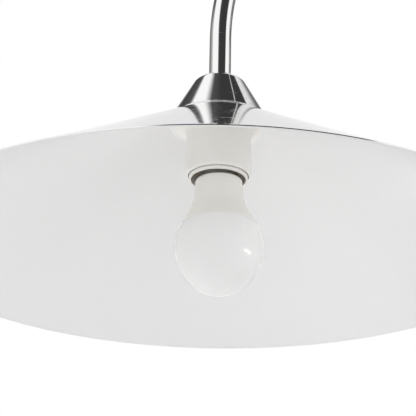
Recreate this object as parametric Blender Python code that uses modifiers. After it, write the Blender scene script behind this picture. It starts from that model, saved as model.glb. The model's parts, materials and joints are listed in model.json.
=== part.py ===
"""Adjustable desk lamp: weighted base, two friction-jointed arms and a wide spun-metal shade.

The lamp stands on z = 0 with its post on the Z axis. The arms lie in the XZ plane, and the head
hangs on the -X side. Everything is in metres. Each moving group hangs from an empty that sits on
its joint, so that turning the empty about its own Y axis turns the joint.
"""

import math

import bmesh
import bpy
from mathutils import Matrix, Vector

# Clearances
GAP = 0.0003

# Base
PAD_RADIUS = 0.147
PAD_HEIGHT = 0.003
WEIGHT_RADIUS = 0.143
WEIGHT_TOP = 0.018
WEIGHT_BORE = 0.0125
WEIGHT_CHAMFER = 0.002
COUNTERBORE_RADIUS = 0.020
COUNTERBORE_TOP = 0.0122
POCKET_LOW = 0.001
POCKET_HIGH = 0.020
CHANNEL_HALF = 0.0052
CHANNEL_TOP = 0.0085
COVER_RADIUS = 0.150
COVER_FOOT = 0.001
COVER_CORNER = 0.005
COVER_EDGE_TOP = 0.0215
COVER_SLOPE = math.radians(6.5)
COVER_SHEET = 0.0012
COVER_HOLE = 0.0128
COLLAR_RADIUS = 0.0307
COLLAR_TOP = 0.066
COLLAR_WALL = 0.0015
COLLAR_SHOULDER = 0.005

# Swivel
POST_BOTTOM = 0.0080
POST_WALL = 0.0015
BUSH_RADIUS = 0.0118
BUSH_TOP = 0.060
BUSH_BOTTOM = 0.0130
BUSH_SPIGOT = 0.0122
BUSH_FLANGE = 0.003
NUT_RADIUS = 0.0135
NUT_BOTTOM = 0.0083
NUT_TOP = 0.0111
POST_WASHER_RADIUS = 0.017
SHOULDER_HEIGHT = 0.115

# Arms
TUBE_RADIUS = 0.008
TUBE_WALL = 0.0012
ARM_LENGTH = 0.400
LOWER_LEAN = math.radians(15.0)
UPPER_LEAN = math.radians(-50.0)
HEAD_LEAN = math.radians(-90.0)

# Knuckles, measured from the hinge
KNUCKLE_DISC = 0.016
KNUCKLE_NECK = 0.0105
TONGUE_HALF = 0.005
EAR_INNER = 0.0062
EAR_OUTER = 0.0112
BARREL_RADIUS = 0.0115
BARREL_START = 0.024
BARREL_END = 0.046
SOCKET_START = 0.030
SLOT_DEPTH = 0.0195
BOLT_RADIUS = 0.003
BOLT_HOLE = 0.0033
WASHER_RADIUS = 0.012
WASHER_THICK = 0.0006
SCREW_RADIUS = 0.002
SCREW_AT = 0.038
BOLT_HEAD = 0.0075
BOLT_TOP = 0.0152
KNOB_RADIUS = 0.0135
KNOB_BOSS = 0.008
KNOB_START = EAR_OUTER + GAP
KNOB_STEP = 0.0145
KNOB_END = 0.0255

# Head, measured from the centre of the shade's rim
HEAD_REACH = 0.200
BEND_START = 0.180
BEND_RISE = 0.150
EASE_RADIUS = 0.210
EASE_ANGLE = math.radians(12.0)
BEND_RADIUS = (BEND_RISE - EASE_RADIUS * math.sin(EASE_ANGLE)) / (1.0 - math.sin(EASE_ANGLE))
SHADE_RADIUS = 0.2076
SHADE_TOP_RADIUS = 0.0356
SHADE_HEIGHT = 0.1098
SHADE_SHEET = 0.0008
SHADE_HOLE = 0.0053
CAP_TOP = 0.1447
CAP_HALF_ANGLE = math.radians(28.0)
CAP_SHOULDER = 0.0085
CAP_WALL = 0.0012
HOLDER_RADIUS = 0.0228
HOLDER_FLARE = 0.0312
HOLDER_BOTTOM = 0.0692
HOLDER_TOP = 0.1087
HOLDER_BORE = 0.0212
HOLDER_ROOF = 0.0023
HOLDER_EDGE = 0.0012
FLARE_RADIUS = 0.0080
FLARE_CENTRE = 0.0990
INSERT_MOUTH = 0.0191
INSERT_BOTTOM = 0.0662
INSERT_TOP = 0.1005
INSERT_ROOF = 0.0035
NIPPLE_RADIUS = 0.005
NIPPLE_BORE = 0.0030
NIPPLE_SPIGOT = 0.0065
NIPPLE_FLANGE = 0.0110
NIPPLE_TOP = 0.1350
SHELL_RADIUS = 0.0144
SHELL_SHEET = 0.0006
SHELL_BOTTOM = 0.0735
SHELL_TOP = 0.0960
CONTACT_RADIUS = 0.0030
CONTACT_BOTTOM = 0.0935
CONTACT_TOP = 0.0966
BULB_CAP_RADIUS = 0.0131
BULB_CAP_SHEET = 0.0005
BULB_CAP_BOTTOM = 0.0655
BULB_CAP_TOP = 0.0900
TIP_RADIUS = 0.0045
TIP_BOTTOM = 0.0921
TIP_TOP = 0.0930
BOARD_RADIUS = 0.0219
BOARD_TOP = 0.0371
BOARD_BOTTOM = 0.0355
DOME_RADIUS = 0.0303
DOME_CENTRE = 0.0155
DOME_DROP = 0.0323
DOME_RISE = 0.0349
DOME_WALL = 0.0012
DOME_SEAM = 0.0320
LEAD_RADIUS = 0.0017

# Switch and inlet
SWITCH_AT = -0.098
SWITCH_TILT = -COVER_SLOPE
SWITCH_RAISED = 0.0015
FRAME_SIZE = (0.024, 0.017, 0.0013)
BODY_HALF = (0.0104, 0.0068)
WINDOW_HALF = (0.0107, 0.0071)
WELL_HALF = (0.0089, 0.0053)
ROCKER_HALF = 0.0084
ROCKER_CROWN = 0.0010
ROCKER_ANGLE = math.radians(7.0)
INLET_FACE = 0.1515
INLET_BACK = 0.1300
INLET_WIDTH = 0.024
INLET_TALL = 0.013
INLET_HEIGHT = 0.0101
RECESS_DEPTH = 0.013
RECESS_RADIUS = 0.0043
RECESS_SIDE = 0.0033
PIN_RADIUS = 0.0012
PIN_SIDE = 0.0043

# Segments of small, medium and wide turned pieces
ROUND = 16
MEDIUM_ROUND = 28
WIDE_ROUND = 48


def cover_height(radius):
    """Outer height of the base cover's cone at this radius."""
    return COVER_EDGE_TOP + (COVER_RADIUS - COVER_CORNER - radius) * math.tan(COVER_SLOPE)


# ---------------------------------------------------------------------------------------------
# Scene, materials and shapes


def clear_scene():
    for old in list(bpy.data.objects):
        bpy.data.objects.remove(old, do_unlink=True)


def new_collection(name):
    made = bpy.data.collections.new(name)
    bpy.context.scene.collection.children.link(made)
    return made


def new_material(name, colour, metallic, roughness):
    made = bpy.data.materials.new(name)
    made.use_nodes = True
    shader = made.node_tree.nodes["Principled BSDF"]
    shader.inputs["Base Color"].default_value = (*colour, 1.0)
    shader.inputs["Metallic"].default_value = metallic
    shader.inputs["Roughness"].default_value = roughness
    made.diffuse_color = (*colour, 1.0)
    return made


FINISHES = {
    "polished": ((0.80, 0.80, 0.79), 1.0, 0.06),
    "steel": ((0.55, 0.55, 0.56), 1.0, 0.30),
    "brass": ((0.72, 0.56, 0.30), 1.0, 0.30),
    "iron": ((0.12, 0.12, 0.12), 0.6, 0.60),
    "rubber": ((0.04, 0.04, 0.04), 0.0, 0.80),
    "black": ((0.03, 0.03, 0.03), 0.0, 0.40),
    "white": ((0.80, 0.79, 0.76), 0.0, 0.40),
    "opal": ((0.86, 0.86, 0.84), 0.0, 0.25),
    "fibre": ((0.35, 0.24, 0.16), 0.0, 0.70),
    "board": ((0.85, 0.85, 0.82), 0.0, 0.50),
}


def add_part(name, data, parent, finish, location=(0.0, 0.0, 0.0), rotation=(0.0, 0.0, 0.0)):
    part = bpy.data.objects.new(name, data)
    PARTS.objects.link(part)
    part.parent = parent
    part.location = location
    part.rotation_euler = rotation
    data.materials.append(new_material(name, *FINISHES[finish]))
    return part


def add_tool(name, data, parent, location=(0.0, 0.0, 0.0), rotation=(0.0, 0.0, 0.0)):
    """A cutter or a shape to be joined to a part: it is never a part itself."""
    tool = bpy.data.objects.new(name, data)
    TOOLS.objects.link(tool)
    tool.parent = parent
    tool.location = location
    tool.rotation_euler = rotation
    tool.hide_render = True
    tool.display_type = "WIRE"
    return tool


def empty(name, parent, location, turn=0.0):
    made = bpy.data.objects.new(name, None)
    PARTS.objects.link(made)
    made.parent = parent
    made.location = location
    made.rotation_euler = (0.0, turn, 0.0)
    made.empty_display_size = 0.03
    return made


def boolean(part, tool, operation="DIFFERENCE"):
    step = part.modifiers.new(operation.title(), "BOOLEAN")
    step.operation = operation
    step.solver = "EXACT"
    step.object = tool


def even_normals(part):
    """Shades a turned or cut piece by its large faces, so that its corners stay crisp."""
    part.modifiers.new("Even normals", "WEIGHTED_NORMAL")


AXIS_TURNS = {
    "X": (0.0, math.pi / 2, 0.0),
    "Y": (-math.pi / 2, 0.0, 0.0),
    "Z": (0.0, 0.0, 0.0),
}


def profile_mesh(name, profile, closed):
    """A profile of (radius, height) points. It runs down its outer side."""
    points = [(radius, 0.0, height) for radius, height in profile]
    edges = [(i, i + 1) for i in range(len(points) - 1)]
    if closed:
        edges.append((len(points) - 1, 0))
    mesh = bpy.data.meshes.new(name)
    mesh.from_pydata(points, edges, [])
    return mesh


def spin(part, segments):
    screw = part.modifiers.new("Turn", "SCREW")
    screw.steps = segments
    screw.render_steps = segments
    screw.use_merge_vertices = True
    screw.merge_threshold = 0.00001
    screw.use_smooth_shade = True


def turned(name, parent, finish, profile, closed=True, segments=ROUND, at=(0.0, 0.0, 0.0), axis="Z"):
    mesh = profile_mesh(name, profile, closed)
    part = add_part(name, mesh, parent, finish, at, AXIS_TURNS[axis])
    spin(part, segments)
    return part


def turned_tool(name, parent, profile, segments=ROUND, at=(0.0, 0.0, 0.0), axis="Z", closed=False):
    tool = add_tool(name, profile_mesh(name, profile, closed), parent, at, AXIS_TURNS[axis])
    spin(tool, segments)
    return tool


def rod(radius, low, high, chamfer=0.0):
    """Profile of a solid cylinder between two heights."""
    if not chamfer:
        return [(0.0, high), (radius, high), (radius, low), (0.0, low)]
    return [
        (0.0, high),
        (radius - chamfer, high),
        (radius, high - chamfer),
        (radius, low + chamfer),
        (radius - chamfer, low),
        (0.0, low),
    ]


def pipe(outer, inner, low, high):
    """Profile of a plain ring between two heights."""
    return [(outer, high), (outer, low), (inner, low), (inner, high)]


def arc(radius_at, height_at, radius, start, end, steps):
    """Points on a circle in the profile plane, with angles in degrees from +radius towards +height."""
    points = []
    for i in range(steps + 1):
        angle = math.radians(start + (end - start) * i / steps)
        points.append((radius_at + radius * math.cos(angle), height_at + radius * math.sin(angle)))
    return points


def hex_nut(name, parent, radius, bore, low, high):
    nut = turned(name, parent, "steel", rod(radius, low, high), False, 6)
    boolean(nut, turned_tool(name + "_bore", parent, rod(bore, low - 0.002, high + 0.002)))


def box_mesh(name, size):
    mesh = bpy.data.meshes.new(name)
    shape = bmesh.new()
    bmesh.ops.create_cube(shape, size=1.0)
    bmesh.ops.scale(shape, vec=size, verts=shape.verts)
    shape.to_mesh(mesh)
    shape.free()
    return mesh


def box_tool(name, parent, low, high, rotation=(0.0, 0.0, 0.0)):
    size = [b - a for a, b in zip(low, high)]
    centre = [(a + b) / 2 for a, b in zip(low, high)]
    return add_tool(name, box_mesh(name, size), parent, centre, rotation)


def mesh_from_curve(name, curve):
    """The curve's closed surface as a mesh, with its caps welded on."""
    holder = bpy.data.objects.new(name, curve)
    bpy.context.scene.collection.objects.link(holder)
    bpy.context.view_layer.update()
    graph = bpy.context.evaluated_depsgraph_get()
    mesh = bpy.data.meshes.new_from_object(holder.evaluated_get(graph))
    bpy.data.objects.remove(holder, do_unlink=True)
    shape = bmesh.new()
    shape.from_mesh(mesh)
    bmesh.ops.remove_doubles(shape, verts=shape.verts, dist=0.000001)
    bmesh.ops.recalc_face_normals(shape, faces=shape.faces)
    shape.to_mesh(mesh)
    shape.free()
    mesh.name = name
    return mesh


def outline_mesh(name, outline, half_thickness):
    """A flat outline in the XZ plane, given its thickness along Y."""
    curve = bpy.data.curves.new(name, "CURVE")
    curve.dimensions = "2D"
    curve.fill_mode = "BOTH"
    curve.extrude = half_thickness
    spline = curve.splines.new("POLY")
    spline.points.add(len(outline) - 1)
    for point, (x, z) in zip(spline.points, outline):
        point.co = (x, z, 0.0, 1.0)
    spline.use_cyclic_u = True
    mesh = mesh_from_curve(name, curve)
    mesh.transform(Matrix.Rotation(math.pi / 2, 4, "X"))
    return mesh


def path_curve(name, points, radius, resolution):
    curve = bpy.data.curves.new(name, "CURVE")
    curve.dimensions = "3D"
    curve.bevel_depth = radius
    curve.bevel_resolution = resolution
    curve.use_fill_caps = True
    spline = curve.splines.new("POLY")
    spline.points.add(len(points) - 1)
    for point, place in zip(spline.points, points):
        point.co = (*place, 1.0)
    return curve


def smooth_route(points, steps):
    """Points along a smooth curve that passes through the given ones."""
    known = [Vector(point) for point in points]
    ends = [known[0], *known, known[-1]]
    route = []
    for before, start, end, after in zip(ends, ends[1:], ends[2:], ends[3:]):
        leaving = (end - before) / 2
        arriving = (after - start) / 2
        for i in range(steps):
            t = i / steps
            rise = t * t * (3 - 2 * t)
            bend = t * (1 - t)
            route.append(start.lerp(end, rise) + leaving * bend * (1 - t) - arriving * bend * t)
    return [*route, known[-1]]


def lead(name, parent, points, steps=1):
    """An insulated wire that follows these points inside the lamp."""
    curve = path_curve(name, smooth_route(points, steps), LEAD_RADIUS, 2)
    return add_part(name, curve, parent, "white")


# ---------------------------------------------------------------------------------------------
# Base


def base_pad():
    turned("base_pad", BASE, "rubber", rod(PAD_RADIUS, 0.0, PAD_HEIGHT), False, WIDE_ROUND)


def base_weight():
    """Cast disc with a pocket for the switch, one for the inlet, and a wire channel underneath."""
    low = PAD_HEIGHT + GAP
    profile = [
        (WEIGHT_RADIUS - WEIGHT_CHAMFER, WEIGHT_TOP),
        (WEIGHT_RADIUS, WEIGHT_TOP - WEIGHT_CHAMFER),
        (WEIGHT_RADIUS, low),
        (COUNTERBORE_RADIUS, low),
        (COUNTERBORE_RADIUS, COUNTERBORE_TOP),
        (WEIGHT_BORE, COUNTERBORE_TOP),
        (WEIGHT_BORE, WEIGHT_TOP),
    ]
    weight = turned("base_weight", BASE, "iron", profile, True, WIDE_ROUND)
    pockets = {
        "switch_pocket": (SWITCH_AT - 0.015, SWITCH_AT + 0.015, 0.010, POCKET_HIGH),
        "inlet_pocket": (INLET_BACK - 0.017, COVER_RADIUS, 0.0145, POCKET_HIGH),
        "wire_channel": (SWITCH_AT, INLET_BACK - 0.010, CHANNEL_HALF, CHANNEL_TOP),
    }
    for name, (start, end, half, top) in pockets.items():
        boolean(weight, box_tool(name, BASE, (start, -half, POCKET_LOW), (end, half, top)))


def base_cover():
    """Spun cover: a low rim, a rounded edge and a shallow cone, with windows for switch and inlet."""
    edge_radius = COVER_RADIUS - COVER_CORNER
    edge_height = COVER_EDGE_TOP - COVER_CORNER
    outer = [(COVER_HOLE, cover_height(COVER_HOLE))]
    outer += arc(edge_radius, edge_height, COVER_CORNER, 90 - math.degrees(COVER_SLOPE), 0, 3)
    outer += [(COVER_RADIUS, COVER_FOOT)]
    inner_corner = COVER_CORNER - COVER_SHEET
    inner = [(COVER_RADIUS - COVER_SHEET, COVER_FOOT)]
    inner += arc(edge_radius, edge_height, inner_corner, 0, 90 - math.degrees(COVER_SLOPE), 3)
    inner += [(COVER_HOLE, cover_height(COVER_HOLE) - COVER_SHEET)]
    cover = turned("base_cover", BASE, "polished", outer + inner, True, WIDE_ROUND)
    long, wide = WINDOW_HALF
    boolean(cover, box_tool("switch_window", SWITCH, (-long, -wide, -0.010), (long, wide, 0.004)))
    side = INLET_WIDTH / 2 + GAP
    low = INLET_HEIGHT - INLET_TALL / 2 - GAP
    high = INLET_HEIGHT + INLET_TALL / 2 + GAP
    boolean(cover, box_tool("inlet_window", BASE, (0.135, -side, low), (0.160, side, high)))


def base_collar():
    """Conical collar around the post. It repeats the shape of the cap above the shade."""
    low = cover_height(COLLAR_RADIUS) + GAP
    hole = TUBE_RADIUS + 0.0005
    outer = cone_cap(COLLAR_RADIUS, low, COLLAR_TOP, CAP_HALF_ANGLE, COLLAR_SHOULDER, hole)
    inner = cone_cap(
        COLLAR_RADIUS - COLLAR_WALL,
        low,
        COLLAR_TOP - COLLAR_WALL,
        CAP_HALF_ANGLE,
        COLLAR_SHOULDER - COLLAR_WALL,
        hole,
    )
    turned("base_collar", BASE, "polished", outer + inner[::-1], True, MEDIUM_ROUND)


def cone_cap(base_radius, low, high, half_angle, shoulder, hole):
    """Profile of a cone with a rounded shoulder and a flat top, from its hole down to its foot."""
    lean = math.degrees(half_angle)
    centre_height = high - shoulder
    slope_at_centre = base_radius - (centre_height - low) * math.tan(half_angle)
    centre_radius = slope_at_centre - shoulder / math.cos(half_angle)
    profile = [(hole, high)]
    profile += arc(centre_radius, centre_height, shoulder, 90, lean, 3)
    profile += [(base_radius, low)]
    return profile


def swivel():
    """The bush, post, washer and nut that let the arms turn on the base."""
    bore = TUBE_RADIUS + GAP
    flange_low = WEIGHT_TOP + GAP
    flange_high = flange_low + BUSH_FLANGE
    bush = [
        (BUSH_RADIUS, BUSH_TOP),
        (BUSH_RADIUS, flange_high),
        (COUNTERBORE_RADIUS, flange_high),
        (COUNTERBORE_RADIUS, flange_low),
        (BUSH_SPIGOT, flange_low),
        (BUSH_SPIGOT, BUSH_BOTTOM),
        (bore, BUSH_BOTTOM),
        (bore, BUSH_TOP),
    ]
    turned("swivel_bush", BASE, "brass", bush)
    washer = pipe(POST_WASHER_RADIUS, bore, NUT_TOP + GAP, COUNTERBORE_TOP - GAP)
    turned("post_washer", BASE, "fibre", washer)
    post_top = SHOULDER_HEIGHT - SOCKET_START - GAP
    post = pipe(TUBE_RADIUS, TUBE_RADIUS - POST_WALL, POST_BOTTOM, post_top)
    turned("post_tube", POST, "polished", post)
    hex_nut("post_nut", POST, NUT_RADIUS, bore, NUT_BOTTOM, NUT_TOP)


def switch():
    """Rocker switch let into the front of the cover. Its empty lies on the rocker's pivot."""
    frame = box_mesh("switch_housing", FRAME_SIZE)
    housing = add_part("switch_housing", frame, SWITCH, "black", (0.0, 0.0, -FRAME_SIZE[2] / 2))
    long, wide = BODY_HALF
    body = box_tool("switch_body", SWITCH, (-long, -wide, -0.0095), (long, wide, -0.0005))
    boolean(housing, body, "UNION")
    long, wide = WELL_HALF
    boolean(housing, box_tool("switch_well", SWITCH, (-long, -wide, -0.005), (long, wide, 0.005)))
    tip = ROCKER_CROWN + ROCKER_HALF * math.tan(ROCKER_ANGLE)
    outline = [
        (-ROCKER_HALF, tip),
        (0.0, ROCKER_CROWN),
        (ROCKER_HALF, tip),
        (ROCKER_HALF, -0.0005),
        (0.005, -0.0032),
        (-0.005, -0.0032),
        (-ROCKER_HALF, -0.0005),
    ]
    rocker = outline_mesh("switch_rocker", outline, 0.005)
    add_part("switch_rocker", rocker, SWITCH, "black", rotation=(0.0, -ROCKER_ANGLE, 0.0))


def inlet():
    """Two-pin appliance inlet in the rear of the base."""
    depth = INLET_FACE - INLET_BACK
    block = box_mesh("inlet_socket", (depth, INLET_WIDTH, INLET_TALL))
    centre = (INLET_BACK + depth / 2, 0.0, INLET_HEIGHT)
    socket = add_part("inlet_socket", block, BASE, "black", centre)
    outline = arc(RECESS_SIDE, 0.0, RECESS_RADIUS, -90, 90, 8)
    outline += arc(-RECESS_SIDE, 0.0, RECESS_RADIUS, 90, 270, 8)
    recess = add_tool(
        "inlet_recess",
        outline_mesh("inlet_recess", outline, RECESS_DEPTH),
        BASE,
        (INLET_FACE, 0.0, INLET_HEIGHT),
        (0.0, 0.0, math.pi / 2),
    )
    boolean(socket, recess)
    for side, name in ((-1, "inlet_pin_left"), (1, "inlet_pin_right")):
        at = (0.0, side * PIN_SIDE, INLET_HEIGHT)
        hole = turned_tool(name + "_hole", BASE, rod(PIN_RADIUS + GAP, 0.120, 0.145), 12, at, "X")
        boolean(socket, hole)
        pin = rod(PIN_RADIUS, INLET_BACK - 0.0025, INLET_FACE - 0.0025, 0.0004)
        turned(name, BASE, "steel", pin, False, 12, at, "X")


def base_leads():
    """Wire from the inlet to the switch, and from the switch up into the post."""
    channel = 0.0058
    supply_side = 0.0030
    back_side = -0.0024
    lead(
        "supply_lead",
        BASE,
        [
            (0.1268, supply_side, INLET_HEIGHT),
            (0.1225, supply_side, 0.0085),
            (0.1170, supply_side, channel),
            (0.0600, supply_side, channel),
            (0.0, supply_side, channel),
            (-0.0600, supply_side, channel),
            (SWITCH_AT + 0.006, supply_side, channel),
            (SWITCH_AT, supply_side, 0.0105),
            (SWITCH_AT, supply_side, 0.0155),
        ],
        3,
    )
    lead(
        "switched_lead",
        BASE,
        [
            (SWITCH_AT, back_side, 0.0155),
            (SWITCH_AT, back_side, 0.0105),
            (SWITCH_AT + 0.006, back_side, channel),
            (-0.0600, back_side, channel),
            (-0.0120, back_side, channel),
            (-0.0022, -0.0010, 0.0088),
            (0.0, 0.0, 0.0160),
            (0.0, 0.0, 0.0500),
            (0.0, 0.0, SHOULDER_HEIGHT - SOCKET_START - 0.005),
        ],
        3,
    )


# ---------------------------------------------------------------------------------------------
# Knuckles and arms


def knuckle_outline(side):
    """Round end and straight neck, with the neck below the hinge (side -1) or above it (side 1)."""
    swing = math.degrees(math.acos(KNUCKLE_NECK / KNUCKLE_DISC))
    rounded = arc(0.0, 0.0, KNUCKLE_DISC, -swing, 180 + swing, 16)
    neck_end = BARREL_START + 0.002
    outline = rounded + [(-KNUCKLE_NECK, -neck_end), (KNUCKLE_NECK, -neck_end)]
    return [(x, -side * z) for x, z in outline]


def knuckle_half(name, parent, hinge, side, half_thickness):
    """A fork or tongue blank: plate, barrel with a tube socket, and the screw and bolt holes."""
    plate = outline_mesh(name, knuckle_outline(side), half_thickness)
    blank = add_part(name, plate, parent, "polished", (0.0, 0.0, hinge))
    spans = sorted((side * BARREL_START, side * BARREL_END))
    barrel = rod(BARREL_RADIUS, spans[0], spans[1], 0.0008)
    boolean(blank, turned_tool(name + "_barrel", parent, barrel, at=(0.0, 0.0, hinge)), "UNION")
    spans = sorted((side * SOCKET_START, side * (BARREL_END + 0.005)))
    socket = rod(TUBE_RADIUS + GAP, spans[0], spans[1])
    boolean(blank, turned_tool(name + "_socket", parent, socket, at=(0.0, 0.0, hinge)))
    bolt_hole = rod(BOLT_HOLE, -0.020, 0.020)
    at = (0.0, 0.0, hinge)
    boolean(blank, turned_tool(name + "_bolt_hole", parent, bolt_hole, ROUND, at, "Y"))
    screw_place = (0.0, 0.0, hinge + side * SCREW_AT)
    screw_hole = rod(SCREW_RADIUS + GAP, 0.005, 0.015)
    boolean(blank, turned_tool(name + "_screw_hole", parent, screw_hole, 12, screw_place, "X"))
    screw = rod(SCREW_RADIUS, TUBE_RADIUS + GAP, BARREL_RADIUS - GAP)
    turned(name + "_screw", parent, "steel", screw, False, 12, screw_place, "X")
    return blank


def knuckle(name, parent, hinge, child):
    """A friction hinge: fork on the parent's tube, tongue on the child's, bolt, washers and knob."""
    at = (0.0, 0.0, hinge)
    fork = knuckle_half(name + "_fork", parent, hinge, -1, EAR_OUTER)
    slot_low = (-0.020, -EAR_INNER, hinge - SLOT_DEPTH)
    slot_high = (0.020, EAR_INNER, hinge + 0.020)
    boolean(fork, box_tool(name + "_slot", parent, slot_low, slot_high))
    knuckle_half(name + "_tongue", child, 0.0, 1, TONGUE_HALF)
    bore_end = -KNOB_END + 0.004
    bolt = [
        (0.0, BOLT_TOP),
        (0.6 * BOLT_HEAD, BOLT_TOP - 0.0004),
        (BOLT_HEAD, BOLT_TOP - 0.0017),
        (BOLT_HEAD, EAR_OUTER + GAP),
        (BOLT_RADIUS, EAR_OUTER + GAP),
        (BOLT_RADIUS, bore_end + GAP),
        (0.0, bore_end + GAP),
    ]
    turned(name + "_bolt", parent, "polished", bolt, False, ROUND, at, "Y")
    for side, where in ((-1, "left"), (1, "right")):
        inner = TONGUE_HALF + GAP
        low, high = sorted((side * inner, side * (inner + WASHER_THICK)))
        washer = pipe(WASHER_RADIUS, BOLT_HOLE + 0.0001, low, high)
        turned(f"{name}_washer_{where}", parent, "fibre", washer, True, ROUND, at, "Y")
    edge = 0.001
    knob = [
        (0.0, bore_end),
        (BOLT_HOLE, bore_end),
        (BOLT_HOLE, -KNOB_START),
        (KNOB_BOSS, -KNOB_START),
        (KNOB_BOSS, -KNOB_STEP),
        (KNOB_RADIUS - edge, -KNOB_STEP),
        (KNOB_RADIUS, -KNOB_STEP - edge),
        (KNOB_RADIUS, -KNOB_END + edge),
        (KNOB_RADIUS - edge, -KNOB_END),
        (0.0, -KNOB_END),
    ]
    turned(name + "_knob", parent, "black", knob, False, ROUND, at, "Y")


def arm(name, parent):
    """A straight steel tube between two knuckles, with its stretch of wire inside."""
    start = SOCKET_START + GAP
    end = ARM_LENGTH - SOCKET_START - GAP
    tube = pipe(TUBE_RADIUS, TUBE_RADIUS - TUBE_WALL, start, end)
    turned(name + "_tube", parent, "polished", tube)
    lead(name + "_lead", parent, [(0.0, 0.0, start + 0.004), (0.0, 0.0, end - 0.004)])


# ---------------------------------------------------------------------------------------------
# Head


def swan_path(start, end_reach):
    """Up from the shade, round a bend that eases in and tightens, then level to the knuckle."""
    ease = math.degrees(EASE_ANGLE)
    bend = arc(EASE_RADIUS, BEND_START, EASE_RADIUS, 180, 180 - ease, 3)
    centre_x = EASE_RADIUS - (EASE_RADIUS - BEND_RADIUS) * math.cos(EASE_ANGLE)
    centre_z = BEND_START + BEND_RISE - BEND_RADIUS
    bend += arc(centre_x, centre_z, BEND_RADIUS, 180 - ease, 90, 10)[1:]
    points = [(0.0, 0.0, start)] + [(x, 0.0, z) for x, z in bend]
    points.append((end_reach, 0.0, BEND_START + BEND_RISE))
    return points


def swan_neck():
    foot = SHADE_HEIGHT + 0.0030
    end = HEAD_REACH - SOCKET_START - GAP
    over = 0.002
    outer = path_curve("swan_neck", swan_path(foot, end), TUBE_RADIUS, 5)
    tube = add_part("swan_neck", mesh_from_curve("swan_neck", outer), RIM, "polished")
    bore_path = swan_path(foot - over, end + over)
    bore = path_curve("swan_bore", bore_path, TUBE_RADIUS - TUBE_WALL, 5)
    boolean(tube, add_tool("swan_bore", mesh_from_curve("swan_bore", bore), RIM))
    lead("head_lead", RIM, swan_path(0.0978, end - 0.004))


def shade():
    """Spun cone with a small flat top, open below."""
    slope = math.atan2(SHADE_HEIGHT, SHADE_RADIUS - SHADE_TOP_RADIUS)
    inner_rim = SHADE_RADIUS - SHADE_SHEET / math.sin(slope)
    inner_top = SHADE_HEIGHT - SHADE_SHEET
    profile = [
        (SHADE_HOLE, SHADE_HEIGHT),
        (SHADE_TOP_RADIUS, SHADE_HEIGHT),
        (SHADE_RADIUS, 0.0),
        (inner_rim, 0.0),
        (inner_rim - inner_top / math.tan(slope), inner_top),
        (SHADE_HOLE, inner_top),
    ]
    turned("shade", RIM, "polished", profile, True, WIDE_ROUND)


def neck_cap():
    low = SHADE_HEIGHT + GAP
    hole = TUBE_RADIUS + GAP
    outer = cone_cap(SHADE_TOP_RADIUS, low, CAP_TOP, CAP_HALF_ANGLE, CAP_SHOULDER, hole)
    inner = cone_cap(
        SHADE_TOP_RADIUS - CAP_WALL / math.cos(CAP_HALF_ANGLE),
        low,
        CAP_TOP - CAP_WALL,
        CAP_HALF_ANGLE,
        CAP_SHOULDER - CAP_WALL,
        hole,
    )
    turned("neck_cap", RIM, "polished", outer + inner[::-1], True, MEDIUM_ROUND)


def lampholder():
    """White cup and insert, the threaded nipple and nut that clamp them, shell and contact."""
    hole = NIPPLE_RADIUS + GAP
    foot = HOLDER_TOP - 0.0075
    flange_low = SHADE_HEIGHT + GAP
    flange_high = flange_low + 0.0024
    nipple = [
        (NIPPLE_SPIGOT, NIPPLE_TOP),
        (NIPPLE_SPIGOT, flange_high),
        (NIPPLE_FLANGE, flange_high),
        (NIPPLE_FLANGE, flange_low),
        (NIPPLE_RADIUS, flange_low),
        (NIPPLE_RADIUS, foot),
        (NIPPLE_BORE, foot),
        (NIPPLE_BORE, NIPPLE_TOP),
    ]
    turned("threaded_nipple", RIM, "brass", nipple)
    roof = HOLDER_TOP - HOLDER_ROOF
    hex_nut("holder_nut", RIM, 0.0080, hole, foot + GAP, roof - GAP)
    cover = [(hole, HOLDER_TOP), (HOLDER_FLARE, HOLDER_TOP), (HOLDER_FLARE, HOLDER_TOP - 0.0015)]
    cover += arc(HOLDER_RADIUS + FLARE_RADIUS, FLARE_CENTRE, FLARE_RADIUS, 90, 180, 4)
    edge_radius = HOLDER_RADIUS - HOLDER_EDGE
    cover += arc(edge_radius, HOLDER_BOTTOM + HOLDER_EDGE, HOLDER_EDGE, 0, -90, 2)
    cover += [(HOLDER_BORE, HOLDER_BOTTOM), (HOLDER_BORE, roof), (hole, roof)]
    turned("holder_cover", RIM, "white", cover, True, MEDIUM_ROUND)
    wire_hole = 0.0035
    insert_roof = INSERT_TOP - INSERT_ROOF
    insert = [(wire_hole, INSERT_TOP), (HOLDER_BORE - GAP, INSERT_TOP)]
    insert += arc(INSERT_MOUTH + 0.0005, INSERT_BOTTOM + 0.0031, 0.0013, 0, -60, 2)
    insert += [(INSERT_MOUTH, INSERT_BOTTOM), (INSERT_MOUTH, insert_roof), (wire_hole, insert_roof)]
    turned("holder_insert", RIM, "white", insert, True, MEDIUM_ROUND)
    shell = cup_profile(SHELL_RADIUS, SHELL_SHEET, SHELL_BOTTOM, SHELL_TOP, 0.0060)
    turned("holder_screw_shell", RIM, "brass", shell)
    contact = rod(CONTACT_RADIUS, CONTACT_BOTTOM, CONTACT_TOP)
    turned("holder_contact", RIM, "brass", contact, False)


def cup_profile(radius, sheet, low, high, hole):
    """Profile of a thin cup that opens downwards and has a hole in its top."""
    return [
        (hole, high),
        (radius, high),
        (radius, low),
        (radius - sheet, low),
        (radius - sheet, high - sheet),
        (hole, high - sheet),
    ]


def dome_profile(inset):
    """Oval of the dome, this far inside its skin, from its seam down to its pole."""
    radius = DOME_RADIUS - inset
    rise = DOME_RISE - inset
    drop = DOME_DROP - inset
    seam = math.asin((DOME_SEAM - DOME_CENTRE) / rise)
    profile = []
    for turn in (seam, 0.65 * seam, 0.3 * seam):
        height = DOME_CENTRE + rise * math.sin(turn)
        profile.append((radius * math.cos(turn), height))
    for i in range(6):
        turn = math.radians(15 * i)
        profile.append((radius * math.cos(turn), DOME_CENTRE - drop * math.sin(turn)))
    return profile + [(0.0, DOME_CENTRE - drop)]


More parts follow.
